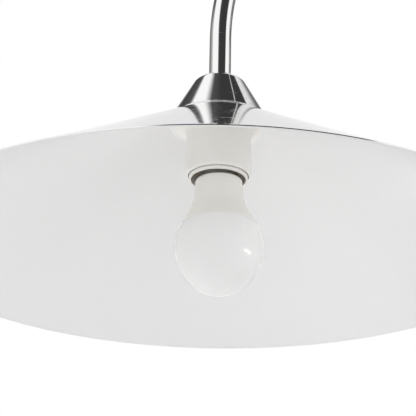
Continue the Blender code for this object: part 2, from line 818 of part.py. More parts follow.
def bulb():
    """Screw-in LED bulb: cap, insulator, tip, collar, board and opal dome."""
    cap = cup_profile(BULB_CAP_RADIUS, BULB_CAP_SHEET, BULB_CAP_BOTTOM, BULB_CAP_TOP, 0.0075)
    turned("bulb_cap", RIM, "steel", cap)
    insulator = [(0.0, 0.0918), (0.0050, 0.0918), (0.0072, 0.0895), (0.0072, 0.0870), (0.0, 0.0870)]
    turned("bulb_insulator", RIM, "black", insulator, False, 20)
    turned("bulb_tip", RIM, "brass", rod(TIP_RADIUS, TIP_BOTTOM, TIP_TOP), False)
    collar_top = BULB_CAP_BOTTOM - GAP
    collar_low = DOME_SEAM + GAP
    recess = BOARD_RADIUS + GAP
    roof = BOARD_TOP + 0.0004
    collar = [
        (0.0, collar_top),
        (0.0156, collar_top),
        (0.0166, collar_top - 0.0010),
        (0.0167, 0.0600),
        (0.0171, 0.0550),
        (0.0178, 0.0500),
        (0.0191, 0.0460),
        (0.0207, 0.0420),
        (0.0233, 0.0380),
        (0.0253, 0.0345),
        (0.0267, collar_low),
        (recess, collar_low),
        (recess, roof),
        (0.0, roof),
    ]
    turned("bulb_collar", RIM, "white", collar, False, MEDIUM_ROUND)
    turned("led_board", RIM, "board", rod(BOARD_RADIUS, BOARD_BOTTOM, BOARD_TOP), False)
    dome = dome_profile(DOME_WALL)[::-1] + dome_profile(0.0)
    turned("bulb_dome", RIM, "opal", dome, False, MEDIUM_ROUND)


clear_scene()
PARTS = new_collection("adjustable_desk_lamp")
TOOLS = new_collection("cutters")
BASE = empty("base", None, (0.0, 0.0, 0.0))
SWITCH_HEIGHT = cover_height(-SWITCH_AT) + SWITCH_RAISED
SWITCH = empty("rocker_pivot", BASE, (SWITCH_AT, 0.0, SWITCH_HEIGHT), SWITCH_TILT)
POST = empty("base_swivel", BASE, (0.0, 0.0, 0.0))
LOWER = empty("shoulder_tilt", POST, (0.0, 0.0, SHOULDER_HEIGHT), LOWER_LEAN)
UPPER = empty("elbow_tilt", LOWER, (0.0, 0.0, ARM_LENGTH), UPPER_LEAN - LOWER_LEAN)
HEAD = empty("head_tilt", UPPER, (0.0, 0.0, ARM_LENGTH), HEAD_LEAN - UPPER_LEAN)
RIM = empty("shade_rim", HEAD, (-BEND_START - BEND_RISE, 0.0, HEAD_REACH), -HEAD_LEAN)

base_pad()
base_weight()
base_cover()
base_collar()
swivel()
switch()
inlet()
base_leads()
knuckle("shoulder", POST, SHOULDER_HEIGHT, LOWER)
arm("lower_arm", LOWER)
knuckle("elbow", LOWER, ARM_LENGTH, UPPER)
arm("upper_arm", UPPER)
knuckle("head", UPPER, ARM_LENGTH, HEAD)
swan_neck()
shade()
neck_cap()
lampholder()
bulb()
for piece in PARTS.objects:
    if piece.type == "MESH":
        even_normals(piece)
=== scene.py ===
"""Looks of an adjustable desk lamp: polished spun shade, bent neck, two tube arms and a round base.

Everything is in metres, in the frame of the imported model: the base stands on z = 0 and the head
hangs on the -X side. Each piece is modelled about its own axis and then put in its place.
"""

import json
import math

import bmesh
import bpy
from mathutils import Matrix, Vector


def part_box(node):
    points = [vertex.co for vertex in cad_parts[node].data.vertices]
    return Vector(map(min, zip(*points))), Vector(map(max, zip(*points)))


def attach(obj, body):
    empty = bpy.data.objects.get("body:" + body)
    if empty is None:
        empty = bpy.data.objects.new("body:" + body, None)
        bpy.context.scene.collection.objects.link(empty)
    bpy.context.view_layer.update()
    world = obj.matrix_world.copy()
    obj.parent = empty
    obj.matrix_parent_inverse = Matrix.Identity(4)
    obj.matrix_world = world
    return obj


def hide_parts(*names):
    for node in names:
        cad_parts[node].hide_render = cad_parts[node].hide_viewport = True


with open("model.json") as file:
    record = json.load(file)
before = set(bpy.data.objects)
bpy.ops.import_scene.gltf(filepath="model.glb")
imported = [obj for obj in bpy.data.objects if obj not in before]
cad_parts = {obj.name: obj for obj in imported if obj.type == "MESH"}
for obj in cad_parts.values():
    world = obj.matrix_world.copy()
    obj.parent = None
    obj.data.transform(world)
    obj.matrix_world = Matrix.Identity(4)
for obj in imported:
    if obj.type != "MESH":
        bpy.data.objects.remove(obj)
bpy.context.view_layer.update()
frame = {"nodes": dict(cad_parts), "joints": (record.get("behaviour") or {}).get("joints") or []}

# ---------------------------------------------------------------------------------------------
# Landmarks, read from the frame

HINGES = {joint["name"]: Vector(joint["pos_m"]) for joint in frame["joints"]}
SHOULDER = HINGES["shoulder_tilt"]
ELBOW = HINGES["elbow_tilt"]
HEAD = HINGES["head_tilt"]
SHADE_LOW, SHADE_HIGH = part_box("shade")
RIM = Vector(((SHADE_LOW.x + SHADE_HIGH.x) / 2, (SHADE_LOW.y + SHADE_HIGH.y) / 2, SHADE_LOW.z))
BASE = Vector((0.0, 0.0, 0.0))

# Directions of the studio: level and away from the camera, level and to its right, and up
VIEW_AZIMUTH = math.radians(30.0)
AHEAD = Vector((math.sin(VIEW_AZIMUTH), math.cos(VIEW_AZIMUTH), 0.0))
ASIDE = Vector((math.cos(VIEW_AZIMUTH), -math.sin(VIEW_AZIMUTH), 0.0))
UP = Vector((0.0, 0.0, 1.0))

# Driving dimensions of the fine pieces, the same as those of the solids they stand for. Only the
# bulb's lean has no match in the solids.
SHADE_RADIUS = (SHADE_HIGH.x - SHADE_LOW.x) / 2
SHADE_TOP_RADIUS = 0.0356
SHADE_HEIGHT = SHADE_HIGH.z - SHADE_LOW.z
SHADE_SHEET = 0.0008
CAP_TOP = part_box("neck_cap")[1].z - RIM.z
CAP_HALF_ANGLE = math.radians(28.0)
TUBE_RADIUS = 0.008
TUBE_WALL = 0.0012
GAP = 0.0003
NIPPLE_HOLE = 0.0053
BEND_START = 0.180
BEND_RISE = 0.150
EASE_RADIUS = 0.210
EASE_ANGLE = math.radians(12.0)
BEND_RADIUS = (BEND_RISE - EASE_RADIUS * math.sin(EASE_ANGLE)) / (1.0 - math.sin(EASE_ANGLE))
SOCKET_START = 0.030
HOLDER_RADIUS = 0.0228
HOLDER_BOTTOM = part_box("holder_cover")[0].z - RIM.z
HOLDER_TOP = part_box("holder_cover")[1].z - RIM.z
HOLDER_BORE = 0.0212
DOME_RADIUS = 0.0303
DOME_CENTRE = 0.0155
DOME_DROP = 0.0323
DOME_RISE = 0.0349
DOME_SEAM = 0.0320
BULB_PIVOT = 0.090
BULB_LEAN = math.radians(0.95)
COVER_RADIUS = 0.150
COVER_SLOPE = math.radians(6.5)
COVER_SHEET = 0.0012
COVER_CORNER = 0.005
COVER_SHOULDER = 0.0215
ROCKER_TILT = math.radians(7.0)
PIN_OFFSET = 0.0043
COLLAR_RADIUS = 0.0307
COLLAR_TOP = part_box("base_collar")[1].z

# Steps round a turned piece
FINE = 192
ROUND = 96
SMALL = 48


def upright(at):
    """Local +Z points up, from a point of the lamp."""
    return Matrix.Translation(at)


def along(start, toward):
    """Local +Z points from start to toward, in the plane of the arms."""
    way = toward - start
    return Matrix.Translation(start) @ Matrix.Rotation(math.atan2(way.x, way.z), 4, "Y")


def across(at):
    """Local +Z points along +Y, as a hinge does."""
    return Matrix.Translation(at) @ Matrix.Rotation(-math.pi / 2, 4, "X")


# ---------------------------------------------------------------------------------------------
# Shapes


def rounded(corners, closed=False, steps=4):
    """Corners (x, y, radius) as an outline in which each corner is turned with its radius."""
    outline = []
    last = len(corners) - 1
    for i, (x, y, radius) in enumerate(corners):
        here = Vector((x, y))
        if radius == 0.0 or (not closed and i in (0, last)):
            outline.append((x, y))
            continue
        back = (Vector(corners[i - 1][:2]) - here).normalized()
        ahead = (Vector(corners[(i + 1) % len(corners)][:2]) - here).normalized()
        half = back.angle(ahead) / 2
        centre = here + (back + ahead).normalized() * radius / math.sin(half)
        start = here + back * radius / math.tan(half) - centre
        end = here + ahead * radius / math.tan(half) - centre
        for k in range(steps + 1):
            outline.append(tuple(centre + start.lerp(end, k / steps).normalized() * radius))
    return outline


def arc(x, y, radius, start, end, steps):
    """Points on a circle, with angles in degrees from +x towards +y."""
    turns = [math.radians(start + (end - start) * i / steps) for i in range(steps + 1)]
    return [(x + radius * math.cos(turn), y + radius * math.sin(turn)) for turn in turns]


def flowing(points, steps=6):
    """Points on a smooth curve through the given ones."""
    known = [Vector(point) for point in points]
    ends = [known[0], *known, known[-1]]
    curve = []
    for before, start, end, after in zip(ends, ends[1:], ends[2:], ends[3:]):
        leaving = (end - before) / 2
        arriving = (after - start) / 2
        for i in range(steps):
            t = i / steps
            rise = t * t * (3 - 2 * t)
            bend = t * (1 - t)
            point = start.lerp(end, rise) + leaving * bend * (1 - t) - arriving * bend * t
            curve.append(tuple(point))
    return [*curve, tuple(known[-1])]


def turned(profile, steps=ROUND, closed=False):
    """Spins (radius, height) points about Z into a closed surface."""
    shape = bmesh.new()
    points = [shape.verts.new((radius, 0.0, height)) for radius, height in profile]
    pairs = list(zip(points, points[1:]))
    if closed:
        pairs.append((points[-1], points[0]))
    edges = [shape.edges.new(pair) for pair in pairs]
    bmesh.ops.spin(
        shape,
        geom=points + edges,
        cent=(0.0, 0.0, 0.0),
        axis=(0.0, 0.0, 1.0),
        angle=math.tau,
        steps=steps,
        use_merge=True,
    )
    bmesh.ops.remove_doubles(shape, verts=shape.verts, dist=0.0000005)
    bmesh.ops.recalc_face_normals(shape, faces=shape.faces)
    return shape


def ring(outer, inner, low, high, edge, steps=ROUND):
    """A plain ring or tube with rounded edges."""
    corners = [(outer, high, edge), (outer, low, edge), (inner, low, edge), (inner, high, edge)]
    return turned(rounded(corners, True, 3), steps, True)


def slab(outline, thickness, edge=0.0, segments=3):
    """A flat outline in the XZ plane, with its thickness centred on Y and its two rims bevelled."""
    shape = bmesh.new()
    corners = [shape.verts.new((x, -thickness / 2, z)) for x, z in outline]
    face = shape.faces.new(corners)
    grown = bmesh.ops.extrude_face_region(shape, geom=[face])["geom"]
    far_side = [item for item in grown if isinstance(item, bmesh.types.BMVert)]
    bmesh.ops.translate(shape, vec=(0.0, thickness, 0.0), verts=far_side)
    bmesh.ops.recalc_face_normals(shape, faces=shape.faces)
    if edge:
        rims = [e for e in shape.edges if abs(e.verts[0].co.y - e.verts[1].co.y) < thickness / 2]
        soften(shape, rims, edge, segments)
    return shape


def soften(shape, edges, width, segments=3):
    """Rounds these edges."""
    bmesh.ops.bevel(
        shape,
        geom=edges,
        offset=width,
        offset_type="OFFSET",
        segments=segments,
        profile=0.5,
        affect="EDGES",
        material=-1,
    )


def block(size, edge=0.0, segments=3):
    """A box about the origin, with rounded edges if an edge is given."""
    shape = bmesh.new()
    bmesh.ops.create_cube(shape, size=1.0)
    bmesh.ops.scale(shape, vec=size, verts=shape.verts)
    if edge:
        soften(shape, list(shape.edges), edge, segments)
    return shape


def moved(shape, place):
    """The same shape, taken to its place."""
    bmesh.ops.transform(shape, matrix=place, verts=shape.verts)
    return shape


def helper(name, shape):
    """A passing object that a Boolean step works with."""
    mesh = bpy.data.meshes.new(name)
    shape.to_mesh(mesh)
    shape.free()
    made = bpy.data.objects.new(name, mesh)
    bpy.context.scene.collection.objects.link(made)
    return made


def combined(shape, operations):
    """The shape after a list of Boolean steps, each an operation and the bmesh it uses."""
    body = helper("body_blank", shape)
    tools = []
    for operation, tool in operations:
        tools.append(helper("tool_blank", tool))
        step = body.modifiers.new(operation, "BOOLEAN")
        step.operation = operation
        step.solver = "EXACT"
        step.object = tools[-1]
    bpy.context.view_layer.update()
    mesh = bpy.data.meshes.new_from_object(body.evaluated_get(bpy.context.evaluated_depsgraph_get()))
    for used in [body, *tools]:
        bpy.data.objects.remove(used, do_unlink=True)
    result = bmesh.new()
    result.from_mesh(mesh)
    bpy.data.meshes.remove(mesh)
    return result


def piece(name, shape, place, finish, body, nodes, crease=35.0):
    """Makes the shape an object in its place, which rides on a body and stands for CAD nodes."""
    moved(shape, place)
    mesh = bpy.data.meshes.new(name)
    shape.to_mesh(mesh)
    shape.free()
    mesh.shade_smooth()
    mesh.set_sharp_from_angle(angle=math.radians(crease))
    made = bpy.data.objects.new(name, mesh)
    bpy.context.scene.collection.objects.link(made)
    mesh.materials.append(finish)
    even = made.modifiers.new("Even normals", "WEIGHTED_NORMAL")
    even.weight = 100
    even.keep_sharp = True
    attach(made, body)
    if nodes:
        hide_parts(*nodes)
    return made


# ---------------------------------------------------------------------------------------------
# Finishes


class Finish:
    """A Principled material with short ways to add the nodes that its finishes share."""

    def __init__(self, name, colour, metallic, roughness):
        self.material = bpy.data.materials.new(name)
        self.material.use_nodes = True
        self.tree = self.material.node_tree
        self.shader = self.tree.nodes["Principled BSDF"]
        self.set(self.shader, "Base Color", (*colour, 1.0))
        self.set(self.shader, "Metallic", metallic)
        self.set(self.shader, "Roughness", roughness)

    def set(self, node, name, value):
        node.inputs[name].default_value = value

    def node(self, kind, **inputs):
        made = self.tree.nodes.new(kind)
        for name, value in inputs.items():
            self.set(made, name.replace("_", " "), value)
        return made

    def link(self, source, target):
        self.tree.links.new(source, target)

    def place(self, at=(0.0, 0.0, 0.0), turn=(0.0, 0.0, 0.0)):
        """Object coordinates measured from a point and an axis of the piece."""
        coords = self.node("ShaderNodeTexCoord")
        mapping = self.node("ShaderNodeMapping", Location=at, Rotation=turn)
        mapping.vector_type = "TEXTURE"
        self.link(coords.outputs["Object"], mapping.inputs["Vector"])
        return mapping.outputs["Vector"]

    def noise(self, where, scale, detail=2.0, roughness=0.5):
        made = self.node("ShaderNodeTexNoise", Scale=scale, Detail=detail, Roughness=roughness)
        self.link(where, made.inputs["Vector"])
        return made.outputs["Fac"]

    def stretch(self, where, factors):
        made = self.node("ShaderNodeVectorMath")
        made.operation = "MULTIPLY"
        made.inputs[1].default_value = factors
        self.link(where, made.inputs[0])
        return made.outputs[0]

    def ranged(self, value, low, high, to_low, to_high):
        made = self.node("ShaderNodeMapRange")
        for name, number in (
            ("From Min", low),
            ("From Max", high),
            ("To Min", to_low),
            ("To Max", to_high),
        ):
            self.set(made, name, number)
        self.link(value, made.inputs["Value"])
        return made.outputs["Result"]

    def combine(self, operation, first, second):
        made = self.node("ShaderNodeMath")
        made.operation = operation
        self.link(first, made.inputs[0])
        self.link(second, made.inputs[1])
        return made.outputs[0]

    def mixed(self, factor, first, second):
        made = self.node("ShaderNodeMix")
        made.data_type = "RGBA"
        made.inputs["A"].default_value = (*first, 1.0)
        made.inputs["B"].default_value = (*second, 1.0)
        self.link(factor, made.inputs["Factor"])
        return made.outputs["Result"]

    def bump(self, height, strength, distance, before=None):
        made = self.node("ShaderNodeBump", Strength=strength, Distance=distance)
        self.link(height, made.inputs["Height"])
        if before is not None:
            self.link(before, made.inputs["Normal"])
        self.link(made.outputs["Normal"], self.shader.inputs["Normal"])
        return made.outputs["Normal"]


def polished(name, at, turn=(0.0, 0.0, 0.0), lines=0.35, hairlines=0.3):
    """Mirror-polished metal: buffing rings round its axis, a few hairlines and shallow dents."""
    finish = Finish(name, (0.93, 0.93, 0.925), 1.0, 0.03)
    where = finish.place(at, turn)
    heights = finish.stretch(where, (0.02, 0.02, 1.0))
    smears = finish.noise(where, 26.0, 3.0, 0.6)
    blurred = finish.ranged(smears, 0.35, 0.75, 0.015, 0.055)
    scratch = finish.ranged(finish.noise(heights, 1500.0, 4.0, 0.8), 0.55, 0.66, 0.0, hairlines)
    patchy = finish.ranged(finish.noise(where, 90.0, 2.0), 0.40, 0.62, 0.0, 1.0)
    worn = finish.combine("MULTIPLY", scratch, patchy)
    finish.link(finish.combine("ADD", blurred, worn), finish.shader.inputs["Roughness"])
    dents = finish.bump(finish.noise(where, 420.0, 1.0), 0.5, 0.000006)
    finish.bump(finish.noise(heights, 900.0, 3.0, 0.7), lines, 0.000010, dents)
    return finish.material


def lacquer(name, colour):
    """Sprayed white lacquer with fine orange peel and a faint cloud in its tint."""
    finish = Finish(name, colour, 0.0, 0.42)
    where = finish.place(RIM)
    peel = finish.noise(where, 900.0, 2.0)
    cloud = finish.noise(where, 9.0, 3.0)
    tint = finish.mixed(
        finish.ranged(cloud, 0.3, 0.7, 0.0, 1.0), tuple(c * 0.985 for c in colour), colour
    )
    finish.link(tint, finish.shader.inputs["Base Color"])
    finish.bump(peel, 0.25, 0.00004)
    return finish.material


def plastic(name, colour, roughness, at=(0.0, 0.0, 0.0)):
    """Moulded plastic: a fine texture and slight changes of gloss and tint."""
    finish = Finish(name, colour, 0.0, roughness)
    where = finish.place(at)
    skin = finish.noise(where, 1400.0, 2.0)
    gloss = finish.noise(where, 60.0, 2.0)
    finish.link(
        finish.ranged(gloss, 0.3, 0.7, roughness * 0.85, roughness * 1.15),
        finish.shader.inputs["Roughness"],
    )
    shade = finish.ranged(finish.noise(where, 35.0, 3.0), 0.3, 0.7, 0.0, 1.0)
    tint = finish.mixed(shade, tuple(c * 0.97 for c in colour), colour)
    finish.link(tint, finish.shader.inputs["Base Color"])
    finish.bump(skin, 0.2, 0.00003)
    return finish.material


def plated(name, colour, roughness):
    """Plated or turned metal, with blotches in its tint and gloss."""
    finish = Finish(name, colour, 1.0, roughness)
    where = finish.place()
    blotch = finish.noise(where, 120.0, 4.0, 0.6)
    finish.link(
        finish.ranged(blotch, 0.3, 0.7, roughness * 0.7, roughness * 1.3),
        finish.shader.inputs["Roughness"],
    )
    tint = finish.mixed(
        finish.ranged(blotch, 0.3, 0.7, 0.0, 1.0), tuple(c * 0.85 for c in colour), colour
    )
    finish.link(tint, finish.shader.inputs["Base Color"])
    finish.bump(finish.noise(where, 1500.0), 0.15, 0.00002)
    return finish.material


def cast_iron():
    """Painted casting with the grain of its sand mould."""
    finish = Finish("painted_casting", (0.05, 0.05, 0.05), 0.2, 0.6)
    where = finish.place()
    finish.bump(finish.noise(where, 420.0, 4.0, 0.65), 0.6, 0.0004)
    finish.link(
        finish.ranged(finish.noise(where, 80.0), 0.3, 0.7, 0.45, 0.75),
        finish.shader.inputs["Roughness"],
    )
    return finish.material


def rubber():
    """Dull moulded rubber."""
    finish = Finish("moulded_rubber", (0.025, 0.025, 0.025), 0.0, 0.75)
    where = finish.place()
    finish.bump(finish.noise(where, 700.0, 3.0), 0.5, 0.0001)
    finish.link(
        finish.ranged(finish.noise(where, 50.0), 0.3, 0.7, 0.65, 0.85),
        finish.shader.inputs["Roughness"],
    )
    return finish.material


def fibre():
    """Red-brown vulcanised fibre, streaked along its sheet."""
    finish = Finish("vulcanised_fibre", (0.28, 0.13, 0.07), 0.0, 0.7)
    where = finish.place()
    streaks = finish.noise(finish.stretch(where, (1.0, 6.0, 1.0)), 300.0, 3.0)
    tint = finish.mixed(streaks, (0.20, 0.09, 0.05), (0.32, 0.16, 0.09))
    finish.link(tint, finish.shader.inputs["Base Color"])
    finish.bump(streaks, 0.3, 0.00005)
    return finish.material


def opal(name, colour):
    """Opal diffuser: milky, softly lit through, with a thin gloss."""
    finish = Finish(name, colour, 0.0, 0.16)
    finish.set(finish.shader, "Subsurface Weight", 0.25)
    finish.set(finish.shader, "Subsurface Radius", (1.0, 1.0, 0.95))
    finish.set(finish.shader, "Subsurface Scale", 0.002)
    finish.set(finish.shader, "Coat Weight", 0.5)
    finish.set(finish.shader, "Coat Roughness", 0.02)
    where = finish.place(RIM)
    finish.link(
        finish.ranged(finish.noise(where, 40.0), 0.3, 0.7, 0.14, 0.19),
        finish.shader.inputs["Roughness"],
    )
    finish.bump(finish.noise(where, 160.0), 0.1, 0.00001)
    return finish.material


def lean_of(start, toward):
    """Turn that brings a finish's Z onto an arm."""
    way = toward - start
    return (0.0, math.atan2(way.x, way.z), 0.0)


CHROME_HEAD = polished("polished_head", RIM)
CHROME_SHADE = polished("polished_shade", RIM, lines=0.5)
CHROME_BASE = polished("polished_base", BASE, lines=0.4, hairlines=0.12)
CHROME_LOWER = polished("polished_lower_arm", SHOULDER, lean_of(SHOULDER, ELBOW), lines=0.15)
CHROME_UPPER = polished("polished_upper_arm", ELBOW, lean_of(ELBOW, HEAD), lines=0.15)
CHROME_KNUCKLE = polished("polished_knuckles", BASE, (math.pi / 2, 0.0, 0.0), lines=0.1)
WHITE_LACQUER = lacquer("white_lacquer", (0.86, 0.86, 0.86))
WHITE_CUP = plastic("white_holder", (0.90, 0.88, 0.84), 0.38, RIM)
BULB_BODY = plastic("white_bulb_body", (0.90, 0.88, 0.835), 0.45, RIM)
OPAL = opal("opal_dome", (0.95, 0.95, 0.94))
BLACK = plastic("black_plastic", (0.018, 0.018, 0.019), 0.38)
WIRE = plastic("wire_sleeve", (0.75, 0.75, 0.73), 0.4)
BOARD = plastic("board_mask", (0.80, 0.80, 0.76), 0.5, RIM)
STEEL = plated("zinc_plate", (0.60, 0.60, 0.61), 0.32)
BULB_METAL = plated("rolled_aluminium", (0.62, 0.62, 0.62), 0.35)
BRASS = plated("turned_brass", (0.72, 0.54, 0.28), 0.3)
IRON = cast_iron()
RUBBER = rubber()
FIBRE = fibre()


# ---------------------------------------------------------------------------------------------
# Head


def spun_shade():
    """Spun cone: a flat top under the cap, a small bend, a barely flared slope and a cut edge."""
    lip = 0.0007
    flare = 0.0004
    top = SHADE_HEIGHT
    slope = math.atan2(top - lip, SHADE_RADIUS - SHADE_TOP_RADIUS)
    inset = SHADE_SHEET / math.sin(slope)
    sag = Vector((-math.sin(slope), -math.cos(slope))) * flare

    def side(radius_high, high, radius_low, low):
        start = Vector((radius_high, high))
        end = Vector((radius_low, low))
        shares = [0.004, 0.012] + [i / 24 for i in range(1, 24)] + [0.988, 0.996]
        return [tuple(start.lerp(end, t) + sag * 4 * t * (1 - t)) for t in shares]

    outer_top = (SHADE_TOP_RADIUS, top)
    inner_top = (SHADE_TOP_RADIUS - SHADE_SHEET * math.tan(slope / 2), top - SHADE_SHEET)
    inner_rim = SHADE_RADIUS - inset
    outline = [(NIPPLE_HOLE, top), (SHADE_TOP_RADIUS - 0.0010, top)]
    outline += [(SHADE_TOP_RADIUS - 0.0004, top - 0.00002)]
    outline += side(*outer_top, SHADE_RADIUS, lip)
    outline += [(SHADE_RADIUS, lip * 0.9), (SHADE_RADIUS, 0.0001), (SHADE_RADIUS - 0.0001, 0.0)]
    outline += [(inner_rim + 0.0001, 0.0), (inner_rim, 0.0001)]
    outline += side(*inner_top, inner_rim, 0.0003)[::-1]
    outline += [(inner_top[0] - 0.0008, inner_top[1]), (NIPPLE_HOLE, inner_top[1])]
    made = piece(
        "spun_shade",
        turned(outline, FINE, True),
        upright(RIM),
        CHROME_SHADE,
        "lamp_head",
        ["shade"],
        40.0,
    )
    made.data.materials.append(WHITE_LACQUER)
    for face in made.data.polygons:
        if face.normal.z < -0.3 and (face.center - RIM).xy.length < SHADE_RADIUS - 0.0001:
            face.material_index = 1


def cone_outline(base_radius, low, high, half_angle, shoulder, hole):
    """A cone with a rounded shoulder and a flat top, from its hole down to its foot."""
    top_radius = base_radius - (high - low) * math.tan(half_angle)
    return [(hole, high, 0.0), (top_radius, high, shoulder), (base_radius, low, 0.0)]


def neck_cap():
    """Spun cap with a rounded shoulder and a fine rolled foot just over the shade."""
    low = SHADE_HEIGHT + 0.00005
    wall = 0.0012
    bead = 0.00045
    hole = TUBE_RADIUS + GAP
    outer = rounded(
        cone_outline(SHADE_TOP_RADIUS, low + 2 * bead, CAP_TOP, CAP_HALF_ANGLE, 0.0085, hole), False, 10
    )
    foot = arc(SHADE_TOP_RADIUS - bead * 0.4, low + bead, bead, 50, -90, 7)
    side = wall / math.cos(CAP_HALF_ANGLE)
    inner = cone_outline(
        SHADE_TOP_RADIUS - side, low, CAP_TOP - wall, CAP_HALF_ANGLE, 0.0073, hole
    )
    outline = outer + foot + rounded(inner, False, 10)[::-1]
    shape = turned(outline, FINE, True)
    piece(
        "polished_neck_cap",
        shape,
        upright(RIM),
        CHROME_HEAD,
        "lamp_head",
        ["neck_cap"],
        40.0,
    )


def bent_neck():
    """The tube from the shade, up, round a bend that eases in, and level to the head knuckle."""
    shape = bmesh.new()
    foot = SHADE_HEIGHT + 0.0030
    bmesh.ops.create_circle(shape, segments=64, radius=TUBE_RADIUS)
    bmesh.ops.translate(shape, vec=(0.0, 0.0, foot), verts=shape.verts)
    loop = extruded(shape, list(shape.edges), (0.0, 0.0, BEND_START - foot), 6)
    loop = spun(shape, loop, (EASE_RADIUS, 0.0, BEND_START), EASE_ANGLE, 12)
    centre_x = EASE_RADIUS - (EASE_RADIUS - BEND_RADIUS) * math.cos(EASE_ANGLE)
    centre_z = BEND_START + BEND_RISE - BEND_RADIUS
    loop = spun(shape, loop, (centre_x, 0.0, centre_z), math.pi / 2 - EASE_ANGLE, 60)
    reach = HEAD.x - RIM.x - SOCKET_START - centre_x - GAP
    extruded(shape, loop, (reach, 0.0, 0.0), 4)
    bmesh.ops.recalc_face_normals(shape, faces=shape.faces)
    made = piece(
        "bent_neck_tube",
        shape,
        upright(RIM),
        CHROME_HEAD,
        "lamp_head",
        ["swan_neck"],
    )
    wall = made.modifiers.new("Wall", "SOLIDIFY")
    wall.thickness = TUBE_WALL
    wall.offset = -1.0


def extruded(shape, edges, way, steps):
    """Pulls a loop of edges along a way in equal steps and returns the last loop."""
    step = Vector(way) / steps
    for _ in range(steps):
        grown = bmesh.ops.extrude_edge_only(shape, edges=edges)["geom"]
        fresh = [item for item in grown if isinstance(item, bmesh.types.BMVert)]
        edges = [item for item in grown if isinstance(item, bmesh.types.BMEdge)]
        bmesh.ops.translate(shape, vec=step, verts=fresh)
        edges = [edge for edge in edges if edge.verts[0] in fresh and edge.verts[1] in fresh]
    return edges


def spun(shape, edges, centre, angle, steps):
    """Swings a loop of edges round a centre, about Y, and returns the last loop."""
    corners = list({corner for edge in edges for corner in edge.verts})
    swung = bmesh.ops.spin(
        shape,
        geom=corners + edges,
        cent=centre,
        axis=(0.0, 1.0, 0.0),
        angle=angle,
        steps=steps,
    )["geom_last"]
    return [item for item in swung if isinstance(item, bmesh.types.BMEdge)]


def lampholder():
    """White cup with a flared top, and the insert whose grooved lip shows inside its mouth."""
    edge = 0.0015
    flare_radius = 0.0312
    roof = HOLDER_TOP - 0.0023
    outline = [(NIPPLE_HOLE, HOLDER_TOP), (flare_radius, HOLDER_TOP), (flare_radius, HOLDER_TOP - 0.0015)]
    outline += arc(flare_radius - 0.0004, 0.0990, 0.0080, 90, 180, 16)
    outline += arc(HOLDER_RADIUS - edge, HOLDER_BOTTOM + edge, edge, 0, -90, 8)
    outline += [(HOLDER_BORE, HOLDER_BOTTOM + 0.0001), (HOLDER_BORE, roof), (NIPPLE_HOLE, roof)]
    cup = turned(outline, FINE, True)
    piece(
        "holder_cup", cup, upright(RIM), WHITE_CUP, "lamp_head", ["holder_cover"]
    )
    outside = HOLDER_BORE - 0.0006
    mouth = 0.0191
    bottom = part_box("holder_insert")[0].z - RIM.z
    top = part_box("holder_insert")[1].z - RIM.z
    wire_hole = 0.0035
    floor_low = top - 0.0035
    groove = 0.0009
    lip = [
        (wire_hole, top, 0.0),
        (outside, top, 0.0008),
        (outside, HOLDER_BOTTOM + 0.0003, 0.0),
        (outside - groove, HOLDER_BOTTOM + 0.0003, 0.0),
        (outside - groove, HOLDER_BOTTOM - 0.0004, 0.0),
        (outside, HOLDER_BOTTOM - 0.0004, 0.0001),
        (outside, bottom + 0.0014, 0.0005),
        (outside - 0.0006, bottom + 0.0009, 0.0001),
        (outside - 0.0007, bottom + 0.0011, 0.0001),
        (outside - 0.0009, bottom + 0.0006, 0.0002),
        (mouth + 0.0002, bottom, 0.0005),
        (mouth, bottom + 0.0006, 0.0001),
        (mouth, floor_low, 0.0),
        (wire_hole, floor_low, 0.0),
    ]
    insert = turned(rounded(lip, False, 5), FINE, True)
    piece(
        "holder_lip", insert, upright(RIM), WHITE_CUP, "lamp_head", ["holder_insert"]
    )


def dome_profile(inset):
    """Oval of the dome, this far inside its skin, from its seam down to its pole."""
    radius = DOME_RADIUS - inset
    rise = DOME_RISE - inset
    drop = DOME_DROP - inset
    seam = math.asin((DOME_SEAM - DOME_CENTRE) / rise)
    turns = [seam * (1 - i / 16) for i in range(16)]
    profile = [(radius * math.cos(turn), DOME_CENTRE + rise * math.sin(turn)) for turn in turns]
    turns = [math.pi / 2 * i / 40 for i in range(40)]
    profile += [(radius * math.cos(turn), DOME_CENTRE - drop * math.sin(turn)) for turn in turns]
    return profile + [(0.0, DOME_CENTRE - drop)]


def bulb():
    """Flared body of the bulb and the opal dome that snaps into it, a touch askew in the holder."""
    sunk = 0.0007
    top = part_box("bulb_collar")[1].z - RIM.z + sunk
    corner = 0.0013
    recess = 0.0226
    roof = 0.0378
    dome_wall = 0.0012
    flare = flowing(
        [
            (0.0164, top - 0.0022),
            (0.0166, 0.0600),
            (0.0171, 0.0550),
            (0.0178, 0.0500),
            (0.0191, 0.0460),
            (0.0208, 0.0420),
            (0.0232, 0.0380),
            (0.0253, 0.0345),
            (0.0267, DOME_SEAM),
        ]
    )
    outline = [(0.0, top)] + arc(0.0151, top - corner, corner, 90, 0, 8) + flare
    outline += [(recess, DOME_SEAM), (recess, roof), (0.0, roof)]
    pivot = Matrix.Translation((0.0, 0.0, BULB_PIVOT))
    seat = upright(RIM) @ pivot @ Matrix.Rotation(-BULB_LEAN, 4, AHEAD) @ pivot.inverted()
    piece(
        "bulb_flared_body",
        turned(outline, FINE),
        seat,
        BULB_BODY,
        "lamp_head",
        ["bulb_collar"],
    )
    dome = turned(dome_profile(dome_wall)[::-1] + dome_profile(0.0), FINE)
    piece("bulb_opal_dome", dome, seat, OPAL, "lamp_head", ["bulb_dome"])


# ---------------------------------------------------------------------------------------------
# Arms and knuckles

DISC = 0.016
NECK = 0.0105
TONGUE_THICK = 0.010
EAR_INNER = 0.0062
EAR_OUTER = 0.0112
BARREL = 0.0115
BARREL_START = 0.024
BARREL_END = 0.046
SCREW_AT = 0.038


